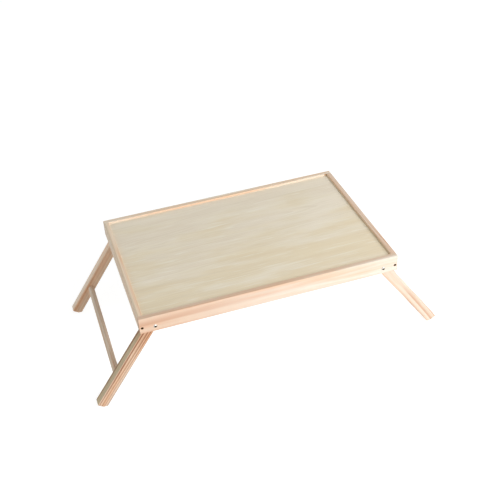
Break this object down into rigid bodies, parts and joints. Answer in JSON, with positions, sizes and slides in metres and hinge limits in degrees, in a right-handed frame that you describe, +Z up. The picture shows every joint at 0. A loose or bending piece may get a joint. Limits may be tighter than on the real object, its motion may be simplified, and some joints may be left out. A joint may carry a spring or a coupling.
{
  "type": "folding laptop table",
  "caption": "Low wooden laptop table or bed tray: a rimmed top with a recessed panel on splayed leg frames that pivot on bolts and fold flat inside the rim.",
  "frame": {"origin": "on the floor under the middle of the tray, with both leg frames open", "axes": "+X along the tray's long side to the right, +Y from front to back, +Z up"},
  "size_m": [0.8368, 0.4048, 0.2357],
  "materials": {
    "panel_board": "satin pale wood-grain face",
    "pine_rail": "sanded bare pine",
    "pine_leg": "sanded bare pine, strong straight grain",
    "pine_bar": "sanded bare pine",
    "beech_dowel": "turned, glued in",
    "bolt_steel": "zinc plated",
    "washer_steel": "zinc plated",
    "nut_steel": "zinc plated",
    "dark_screw": "blackened"
  },
  "bodies": {
    "tray": {"tabletop_panel": "panel_board", "front_rail": "pine_rail", "back_rail": "pine_rail", "left_end_rail": "pine_rail", "right_end_rail": "pine_rail", "front_left_pivot_bolt": "bolt_steel", "front_left_spacer_washer": "washer_steel", "front_left_leg_washer": "washer_steel", "front_left_lock_nut": "nut_steel", "front_left_corner_screw": "dark_screw", "back_left_pivot_bolt": "bolt_steel", "back_left_spacer_washer": "washer_steel", "back_left_leg_washer": "washer_steel", "back_left_lock_nut": "nut_steel", "back_left_corner_screw": "dark_screw", "front_right_pivot_bolt": "bolt_steel", "front_right_spacer_washer": "washer_steel", "front_right_leg_washer": "washer_steel", "front_right_lock_nut": "nut_steel", "front_right_corner_screw": "dark_screw", "back_right_pivot_bolt": "bolt_steel", "back_right_spacer_washer": "washer_steel", "back_right_leg_washer": "washer_steel", "back_right_lock_nut": "nut_steel", "back_right_corner_screw": "dark_screw"},
    "left_leg_frame": {"front_left_leg": "pine_leg", "back_left_leg": "pine_leg", "left_crossbar": "pine_bar", "front_left_dowel": "beech_dowel", "back_left_dowel": "beech_dowel"},
    "right_leg_frame": {"front_right_leg": "pine_leg", "back_right_leg": "pine_leg", "right_crossbar": "pine_bar", "front_right_dowel": "beech_dowel", "back_right_dowel": "beech_dowel"}
  },
  "joints": [
    {"name": "left_leg_fold", "type": "hinge", "parent": "tray", "child": "left_leg_frame", "pos_m": [-0.26511, 0, 0.20848], "axis": [0, -1, 0], "range_deg": [0, 125]},
    {"name": "right_leg_fold", "type": "hinge", "parent": "tray", "child": "right_leg_frame", "pos_m": [0.26511, 0, 0.20848], "axis": [0, 1, 0], "range_deg": [0, 125]}
  ]
}
